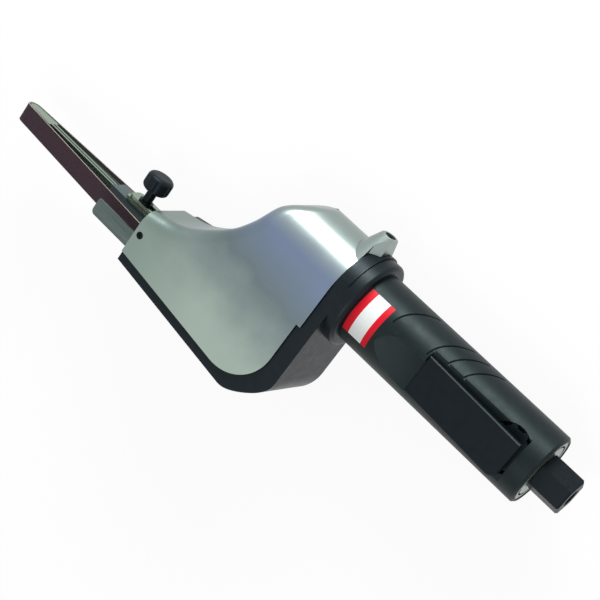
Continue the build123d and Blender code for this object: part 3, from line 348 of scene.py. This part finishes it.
LOOKS = {
    "grip_rubber": dict(
        dark=(0.0040, 0.0065, 0.0075), light=(0.0065, 0.0105, 0.0115), rough=(0.36, 0.50), specular=0.17,
        tint=(0.78, 1.0, 1.0), grain=0.20, depth=0.00010, grain_scale=3200.0),
    "black_steel": dict(
        dark=(0.0030, 0.0045, 0.0062), light=(0.0065, 0.0085, 0.0110), rough=(0.28, 0.48), specular=0.11,
        tint=(0.75, 0.95, 1.0), colour_scale=500.0, grain=0.10),
    "black_alloy": dict(
        dark=(0.0036, 0.0056, 0.0080), light=(0.0058, 0.0085, 0.0115), rough=(0.30, 0.44), specular=0.17,
        tint=(0.78, 0.96, 1.0), grain=0.14, depth=0.00008),
    "black_plastic": dict(
        dark=(0.0034, 0.0054, 0.0080), light=(0.0060, 0.0088, 0.0122), rough=(0.36, 0.52), specular=0.14,
        tint=(0.75, 0.95, 1.0), grain=0.16, depth=0.00008),
    "lever_paint": dict(
        dark=(0.0030, 0.0047, 0.0068), light=(0.0050, 0.0073, 0.0100), rough=(0.30, 0.44), specular=0.13,
        tint=(0.75, 0.95, 1.0), grain=0.14, depth=0.00008),
    # slate_steel: the arm's steel made darker and without metal, as painted shade for the shank under the belt's
    # upper run
    "slate_steel": dict(
        dark=(0.034, 0.050, 0.054), light=(0.056, 0.076, 0.080), rough=(0.40, 0.55), specular=0.30,
        tint=(0.85, 1.0, 1.0), stretch=(0.08, 1, 1), grain=0.04),
    "vane": dict(dark=(0.16, 0.08, 0.03), light=(0.26, 0.14, 0.06), rough=(0.55, 0.75), grain=0.20),
    "steel": dict(
        dark=(0.30, 0.31, 0.31), light=(0.48, 0.49, 0.49), rough=(0.22, 0.38), metallic=1.0, stretch=(0.2, 1, 1),
        grain=0.10),
    "bearing_steel": dict(
        dark=(0.42, 0.43, 0.43), light=(0.58, 0.59, 0.59), rough=(0.14, 0.26), metallic=1.0, grain=0.05),
    "brass": dict(dark=(0.40, 0.26, 0.08), light=(0.60, 0.42, 0.15), rough=(0.22, 0.38), metallic=1.0, grain=0.08),
    "alloy": dict(dark=(0.30, 0.31, 0.31), light=(0.46, 0.47, 0.47), rough=(0.35, 0.52), metallic=1.0, grain=0.20),
    "guard_steel": dict(
        dark=(0.080, 0.106, 0.100), light=(0.130, 0.162, 0.152), rough=(0.34, 0.48), metallic=1.0,
        stretch=(0.08, 1, 1), grain=0.14),
    "arm_steel": dict(
        dark=(0.205, 0.272, 0.212), light=(0.295, 0.370, 0.300), rough=(0.24, 0.38), metallic=1.0,
        stretch=(0.05, 1, 1), grain=0.04),
}
MATERIALS = {name: grained(name, **look) for name, look in LOOKS.items()}
MATERIALS["label"] = wrap_label("label")
MATERIALS["cap_alloy"] = turned("cap_alloy", (0.22, 0.27, 0.24), (0.34, 0.40, 0.36), (0.30, 0.45))
MATERIALS["abrasive"] = abrasive("abrasive")
MATERIALS["cover_alloy"] = cast_with_painted_reflection("cover_alloy")
for part in frame["record"]["subparts"]:
    mesh = nodes[part["node"]].data
    mesh.materials.clear()
    mesh.materials.append(MATERIALS[part["material_slot"]])


# Mesh helpers

def open_copy(node, name):
    """A copy of a node's mesh, opened for editing, with its corner normals kept in a layer."""
    mesh = nodes[node].data.copy()
    mesh.name = name
    kept = mesh.attributes.new("kept_normal", "FLOAT_VECTOR", "CORNER")
    for corner, normal in zip(kept.data, mesh.corner_normals):
        corner.vector = normal.vector
    shape = bmesh.new()
    shape.from_mesh(mesh)
    return mesh, shape, shape.loops.layers.float_vector["kept_normal"]


def close_copy(mesh, shape):
    """Write the edited shape and its kept normals back to the mesh."""
    shape.to_mesh(mesh)
    shape.free()
    kept = mesh.attributes["kept_normal"]
    mesh.normals_split_custom_set([corner.vector.copy() for corner in kept.data])
    mesh.attributes.remove(mesh.attributes["kept_normal"])


def new_mesh(shape, name):
    """A mesh from a shape built from nothing, its faces turned outward."""
    bmesh.ops.recalc_face_normals(shape, faces=shape.faces)
    mesh = bpy.data.meshes.new(name)
    shape.to_mesh(mesh)
    shape.free()
    return mesh


def add_piece(mesh):
    """A piece with the mesh's name, in the scene."""
    piece = bpy.data.objects.new(mesh.name, mesh)
    bpy.context.scene.collection.objects.link(piece)
    return piece


def prism(outline, low_y, high_y):
    """A closed prism along Y from an outline in XZ."""
    shape = bmesh.new()
    ends = [[shape.verts.new((x, y, z)) for x, z in outline] for y in (low_y, high_y)]
    shape.faces.new(ends[0])
    shape.faces.new(ends[1][::-1])
    for i in range(len(outline)):
        j = (i + 1) % len(outline)
        shape.faces.new((ends[0][i], ends[1][i], ends[1][j], ends[0][j]))
    return new_mesh(shape, "cutter")


def ease(t):
    """0 below 0, 1 above 1, and a smooth rise between."""
    t = min(1.0, max(0.0, t))
    return t * t * (3 - 2 * t)


def bend(shape, layer, direction, shift):
    """Move a shape's points along a direction by shift(place), and turn its kept normals with them."""
    steps = [Vector(axis) * SLOPE_STEP for axis in ((1, 0, 0), (0, 1, 0), (0, 0, 1))]
    for face in shape.faces:
        for loop in face.loops:
            place = loop.vert.co
            slope = Vector([shift(place + step) - shift(place - step) for step in steps]) / (2 * SLOPE_STEP)
            normal = loop[layer] - slope * (direction.dot(loop[layer]) / (1 + direction.dot(slope)))
            loop[layer] = normal.normalized()
    for vert in shape.verts:
        vert.co += direction * shift(vert.co)


# The housing's flank, between the round case and the belt's mouth: straight in the model, an S in the photograph

FLANK_X, FLANK_SLOPE = 0.2405, 0.7785   # the straight line in plan: X on the handle's axis, and its rise with Y
FLANK_FROM, FLANK_STEP = -0.036, 0.004  # Y of the first shift, and from one to the next
FLANK_SHIFTS = (                        # along X, in millimetres
    -4.2, -4.2, -2.8, -0.3, 2.0, 2.7, 1.6, 0.0, -1.5, -2.8, -3.7, -4.4, -4.8, -4.4, -3.4, -1.8, -0.5, 0.0, 0.0)
FLANK_DEPTH, FLANK_FADE = 0.018, 0.011  # reach of the bend behind the flank, and its fading part
FLANK_REAR = 0.205                      # faces wholly behind this X are left whole
FLANK_CUTS = 36                         # half steps over which the flank is sliced
MILLIMETRE = 0.001


def flank_shift(place):
    """Shift along X that turns the flank's straight line into the photograph's S."""
    row = (place.y - FLANK_FROM) / FLANK_STEP
    i = min(max(int(row), 1), len(FLANK_SHIFTS) - 3)
    t = min(max(row - i, 0.0), 1.0)
    a, b, c, d = FLANK_SHIFTS[i - 1:i + 3]
    curve = b + 0.5 * t * (c - a + t * (2 * a - 5 * b + 4 * c - d + t * (3 * (b - c) + d - a)))
    behind = FLANK_X + FLANK_SLOPE * place.y - FLANK_DEPTH
    return MILLIMETRE * curve * ease((place.x - behind) / FLANK_FADE)


def bend_flank(shape, layer):
    """Weld a housing shape, slice it along the flank, and bend the flank."""
    bmesh.ops.remove_doubles(shape, verts=shape.verts, dist=WELD)
    for k in range(1, FLANK_CUTS):
        y = FLANK_FROM + k * FLANK_STEP / 2
        faces = [face for face in shape.faces if max(vert.co.x for vert in face.verts) > FLANK_REAR]
        edges = dict.fromkeys(edge for face in faces for edge in face.edges)
        verts = dict.fromkeys(vert for face in faces for vert in face.verts)
        geom = faces + list(edges) + list(verts)
        bmesh.ops.bisect_plane(shape, geom=geom, dist=ON_PLANE, plane_co=(0, y, 0), plane_no=(0, 1, 0))
    bmesh.ops.triangulate(shape, faces=shape.faces)
    bend(shape, layer, Vector((1, 0, 0)), flank_shift)


# The tray's rear corner, blunter at the rim in the photograph

CORNER_IN = Vector((0.6573, -0.7536, 0.0))    # from the corner inward
CORNER_ALONG = Vector((0.7536, 0.6573, 0.0))  # across that
CORNER_PLACE, CORNER_WIDTH = 0.188, 0.022     # middle and half width of the dent, across
CORNER_EDGE, CORNER_FADE = -0.054, 0.010      # where the dent is full, outward, and the width of its fading part
CORNER_DENT = 0.0030


def corner_shift(place):
    """Shift inward that makes the tray's rear corner blunter at its rim and leaves its foot."""
    aside = (place.dot(CORNER_ALONG) - CORNER_PLACE) / CORNER_WIDTH
    out = (-place.dot(CORNER_IN) - CORNER_EDGE) / CORNER_FADE + 1
    rise = (place.z - FLOOR_Z) / (cad_high.z - FLOOR_Z)
    return CORNER_DENT * max(0.0, 1 - aside * aside) ** 2 * ease(out) * rise


# Pieces that stand for a node

def shorten_spring(node, name):
    """A copy of a spring's mesh as its own piece on the housing, standing in for the node."""
    mesh = nodes[node].data.copy()
    mesh.name = name
    piece = add_piece(mesh)
    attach(piece, "housing")
    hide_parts(node)
    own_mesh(piece)


ROUND_TOLERANCE = 0.00002   # a point of the grip this close to its radius lies on its round
CHORD_SUNK = 0.00006        # an edge whose middle lies deeper than this under the round is split
CHORD_PASSES = 8
GRIP_SIDE = -0.6           # the side away from the belt, as a share of the radius along Y


def round_grip():
    """The grip with the strip that its mesh cuts straight across brought back onto its round."""
    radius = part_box("grip")[1].y
    mesh, shape, layer = open_copy("grip", "grip_shell")

    def reach(point):
        return math.hypot(point.y, point.z)

    def on_side(verts):
        return all(vert.co.y < GRIP_SIDE * radius and reach(vert.co) > radius - ROUND_TOLERANCE for vert in verts)

    for _ in range(CHORD_PASSES):
        chords = []
        for edge in shape.edges:
            sunk = radius - reach((edge.verts[0].co + edge.verts[1].co) / 2)
            if sunk > CHORD_SUNK and all(on_side(face.verts) for face in edge.link_faces):
                chords.append(edge)
        if not chords:
            break
        cut = bmesh.ops.subdivide_edges(shape, edges=chords, cuts=1)
        for item in cut["geom_inner"]:
            if isinstance(item, bmesh.types.BMVert):
                item.co.yz = item.co.yz * (radius / reach(item.co))
        bmesh.ops.triangulate(shape, faces=shape.faces)

    for face in shape.faces:
        if on_side(face.verts):
            for loop in face.loops:
                loop[layer] = Vector((0, loop.vert.co.y, loop.vert.co.z)).normalized()
    close_copy(mesh, shape)
    piece = add_piece(mesh)
    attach(piece, "housing")
    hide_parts("grip")


BOSS_WALL = 0.0012          # boss left round its screw's head
BOSS_SLOPE = 0.0045         # rise of the boss's cut from there to the cover's rear edge
CUTTER_LENGTH = 0.02        # the cutter's size along X, past its flat face
CUTTER_REACH = 0.06         # and across, clear of the cover
NORMAL_KEPT = 0.5           # a kept normal shorter than this belongs to a new face


def shape_cover():
    """The cover with its flank bent, and its clamp boss cut flat behind the screw to bare the flange."""
    screw_low, screw_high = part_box("clamp_screw")
    flat_x, flat_z = screw_low.x - BOSS_WALL, screw_high.z + BOSS_WALL
    mesh, shape, layer = open_copy("belt_cover", "cover_shell")
    bend_flank(shape, layer)
    shape.to_mesh(mesh)
    shape.free()
    piece = add_piece(mesh)

    cutter_x = flat_x - CUTTER_LENGTH
    outline = [
        (cutter_x, -CUTTER_REACH), (flat_x, -CUTTER_REACH), (flat_x, flat_z),
        (COVER_REAR, flat_z + BOSS_SLOPE), (COVER_REAR, CUTTER_REACH), (cutter_x, CUTTER_REACH),
    ]
    cutter_mesh = prism(outline, -CUTTER_REACH, 0.0)
    cutter = add_piece(cutter_mesh)
    cut = piece.modifiers.new("cut", "BOOLEAN")
    cut.operation = "DIFFERENCE"
    cut.solver = "EXACT"
    cut.object = cutter
    view = bpy.context.evaluated_depsgraph_get()
    final = bpy.data.meshes.new_from_object(piece.evaluated_get(view))
    piece.modifiers.clear()
    bpy.data.objects.remove(cutter)
    bpy.data.meshes.remove(cutter_mesh)

    normals = []
    kept = final.attributes["kept_normal"]
    for face in final.polygons:
        for index in face.loop_indices:
            normal = Vector(kept.data[index].vector)
            normals.append(normal.normalized() if normal.length > NORMAL_KEPT else face.normal.copy())
    final.attributes.remove(final.attributes["kept_normal"])
    final.normals_split_custom_set(normals)
    piece.data = final
    bpy.data.meshes.remove(mesh)
    final.name = "cover_shell"
    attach(piece, "housing")
    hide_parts("belt_cover")


TRAY_TRIM = 0.0012          # how far the tray's far round lies inside its node's
TRIM_STEP = 0.0003          # width of the step down ahead of the flange
TRIM_FROM, TRIM_FULL = -0.028, -0.016   # heights between which the trim sets in
ON_ROUND = 0.0001           # a point of the tray this close to its radius lies on its round


def shape_tray():
    """The tray with its far round brought in under the cover's, its flank bent and its rear corner blunter."""
    round_radius = -FLOOR_Z
    mesh, shape, layer = open_copy("base_tray", "tray_shell")
    for x in (COVER_REAR + TRIM_STEP, COVER_REAR + 2 * TRIM_STEP):
        everything = shape.verts[:] + shape.edges[:] + shape.faces[:]
        bmesh.ops.bisect_plane(shape, geom=everything, dist=ON_PLANE, plane_co=(x, 0, 0), plane_no=(1, 0, 0))
    for vert in shape.verts:
        y, z = vert.co.yz
        on_round = y < 0 and abs(math.hypot(y, z) - round_radius) < ON_ROUND
        if on_round and vert.co.x > COVER_REAR + 1.5 * TRIM_STEP:
            part = min(1.0, max(0.0, (z - TRIM_FROM) / (TRIM_FULL - TRIM_FROM)))
            trimmed = round_radius - part * TRAY_TRIM
            vert.co.y = -math.sqrt(max(0.0, trimmed ** 2 - z ** 2))
    bend_flank(shape, layer)
    bend(shape, layer, CORNER_IN, corner_shift)
    close_copy(mesh, shape)
    piece = add_piece(mesh)
    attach(piece, "housing")
    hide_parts("base_tray")


COLLAR_RISE = 0.0012        # how far the collar's rear face lies behind its node's
COLLAR_ROUND = 0.0028
COLLAR_STEPS = 180
ROUND_STEPS = 8
SHARP_ANGLE = math.radians(40)


def widen_collar():
    """The collar turned nearly as wide as the tray's flange, with a rounded rear edge."""
    low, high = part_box("collar")
    grip_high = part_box("grip")[1]
    rear, front = low.x - COLLAR_RISE, high.x
    wide = cad_high.z
    profile = [(front, MOTOR_BORE), (front, wide)]
    for i in range(ROUND_STEPS + 1):
        angle = math.pi / 2 * i / ROUND_STEPS
        x = rear + COLLAR_ROUND * (1 - math.sin(angle))
        profile.append((x, wide - COLLAR_ROUND * (1 - math.cos(angle))))
    profile += [(rear, grip_high.y), (grip_high.x, grip_high.y), (grip_high.x, MOTOR_BORE)]

    shape = bmesh.new()
    rings = []
    for k in range(COLLAR_STEPS):
        turn = 2 * math.pi * k / COLLAR_STEPS
        rings.append([shape.verts.new((x, r * math.cos(turn), r * math.sin(turn))) for x, r in profile])
    for ring, after in zip(rings, rings[1:] + rings[:1]):
        for i in range(len(profile)):
            j = (i + 1) % len(profile)
            shape.faces.new((ring[i], ring[j], after[j], after[i])).smooth = True
    mesh = new_mesh(shape, "collar_ring")
    mesh.set_sharp_from_angle(angle=SHARP_ANGLE)
    mesh.materials.append(MATERIALS["black_alloy"])
    piece = add_piece(mesh)
    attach(piece, "housing")
    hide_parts("collar")


shorten_spring("tension_spring", "tension_sleeve")
shorten_spring("valve_spring", "valve_sleeve")
round_grip()
shape_cover()
shape_tray()
widen_collar()


# Tapped thread of the air inlet, in metres

THREAD_WALL, THREAD_CREST = 0.00562, 0.00500
THREAD_SUNK = 0.0001        # how far the ridge's foot goes into the wall
THREAD_PITCH, THREAD_START = 0.00141, 0.0012
THREAD_TURNS, THREAD_STEPS = 9, 40
FOOT_HALF, CREST_HALF = 0.42, 0.06      # half widths of the ridge, as shares of the pitch


def inlet_thread():
    """One helical ridge along the inlet's wall."""
    last = THREAD_TURNS * THREAD_STEPS
    foot = THREAD_WALL + THREAD_SUNK
    shape = bmesh.new()
    rows = []
    for i in range(last + 1):
        angle = 2 * math.pi * i / THREAD_STEPS
        x = THREAD_START + THREAD_PITCH * i / THREAD_STEPS
        fade = min(1.0, i / THREAD_STEPS, (last - i) / THREAD_STEPS)
        tip = THREAD_WALL - (THREAD_WALL - THREAD_CREST) * fade
        row = []
        for shift, radius in ((-FOOT_HALF, foot), (-CREST_HALF, tip), (CREST_HALF, tip), (FOOT_HALF, foot)):
            place = Vector((x + shift * THREAD_PITCH, radius * math.cos(angle), radius * math.sin(angle)))
            row.append(shape.verts.new(place))
        rows.append(row)
    for row, after in zip(rows, rows[1:]):
        for k in range(4):
            shape.faces.new((row[k], after[k], after[(k + 1) % 4], row[(k + 1) % 4]))
    shape.faces.new(rows[0])
    shape.faces.new(rows[-1][::-1])
    mesh = new_mesh(shape, "inlet_thread")
    mesh.materials.append(MATERIALS["black_steel"])
    piece = add_piece(mesh)
    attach(piece, "housing")


inlet_thread()


# Floor, world and lamps

FLOOR_REACH = 4.0
FLOOR_DROP = 0.0002         # gap under the tool, so that the two surfaces don't coincide
FLOOR_GLOW = 0.9            # share of plain white in the floor as the camera sees it
ROOM_LIGHT = 0.45           # strength of the world as a light; it shows at full white
LAMPS = (                   # name, place, target, size in metres, power in watts
    ("key", (0.55, -1.26, 0.44), (0.21, 0.02, 0.0), (0.9, 0.5), 26),
    ("fill", (-0.30, 0.58, 1.30), (0.18, 0.02, 0.0), (0.9, 0.9), 8),
)


def white_for_view(tree):
    """1 for the camera's rays and for those that gloss reflects or glass lets through, else 0."""
    path = tree.nodes.new("ShaderNodeLightPath")
    seen = math_node(tree, "MAXIMUM", path.outputs["Is Camera Ray"], path.outputs["Is Glossy Ray"])
    return math_node(tree, "MAXIMUM", seen, path.outputs["Is Transmission Ray"])


def add_floor():
    """A wide white floor that takes the tool's shadow."""
    mesh = bpy.data.meshes.new("floor")
    signs = ((-1, -1), (1, -1), (1, 1), (-1, 1))
    corners = [(x * FLOOR_REACH, y * FLOOR_REACH, FLOOR_Z - FLOOR_DROP) for x, y in signs]
    mesh.from_pydata(corners, [], [(0, 1, 2, 3)])
    floor = add_piece(mesh)
    material, tree, shader, _ = new_material("floor")
    shader.inputs["Base Color"].default_value = (0.9, 0.9, 0.9, 1.0)
    shader.inputs["Roughness"].default_value = 0.9
    shader.inputs["Specular IOR Level"].default_value = 0.0
    glow = tree.nodes.new("ShaderNodeEmission")
    glow.inputs["Color"].default_value = (1.0, 1.0, 1.0, 1.0)
    mix = tree.nodes.new("ShaderNodeMixShader")
    tree.links.new(math_node(tree, "MULTIPLY", white_for_view(tree), FLOOR_GLOW), mix.inputs["Fac"])
    tree.links.new(shader.outputs["BSDF"], mix.inputs[1])
    tree.links.new(glow.outputs["Emission"], mix.inputs[2])
    tree.links.new(mix.outputs["Shader"], tree.nodes["Material Output"].inputs["Surface"])
    mesh.materials.append(material)


def add_world():
    """A white world that lights less than it shows."""
    world = bpy.data.worlds.new("studio")
    world.use_nodes = True
    tree = world.node_tree
    background = tree.nodes["Background"]
    background.inputs["Color"].default_value = (1.0, 1.0, 1.0, 1.0)
    strength = spread(tree, white_for_view(tree), ROOM_LIGHT, 1.0, 0.0, 1.0)
    tree.links.new(strength, background.inputs["Strength"])
    bpy.context.scene.world = world


def add_lamp(name, place, target, size, power):
    """A white rectangular lamp aimed at a target."""
    data = bpy.data.lights.new(name, "AREA")
    data.shape = "RECTANGLE"
    data.size, data.size_y = size
    data.energy = power
    lamp = bpy.data.objects.new(name, data)
    bpy.context.scene.collection.objects.link(lamp)
    lamp.location = place
    lamp.rotation_euler = (Vector(target) - Vector(place)).to_track_quat("-Z", "Y").to_euler()


add_floor()
add_world()
for lamp in LAMPS:
    add_lamp(*lamp)


# Camera at the photograph's viewing angle

SENSOR_WIDTH = 36.0
FOCAL_SHARE = 1417.6 / 600  # focal length over the picture's width, both in its pixels
CLIP_START = 0.01
CAMERA_PLACE = Vector((-0.07979, -0.26657, 0.74179))
CAMERA_RIGHT = Vector((-0.68077, -0.55949, -0.47278))
CAMERA_BACK = Vector((-0.32533, -0.34735, 0.87950))


def add_camera():
    """The scene's camera, from its fitted place and two of its axes."""
    data = bpy.data.cameras.new("camera")
    data.sensor_width = SENSOR_WIDTH
    data.lens = FOCAL_SHARE * SENSOR_WIDTH
    data.clip_start = CLIP_START
    camera = bpy.data.objects.new("camera", data)
    bpy.context.scene.collection.objects.link(camera)
    back = CAMERA_BACK.normalized()
    up = back.cross(CAMERA_RIGHT).normalized()
    right = up.cross(back)
    turn = Matrix((right, up, back)).transposed().to_4x4()
    camera.matrix_world = Matrix.Translation(CAMERA_PLACE) @ turn
    bpy.context.scene.camera = camera


add_camera()
bpy.context.scene.view_settings.view_transform = "Standard"
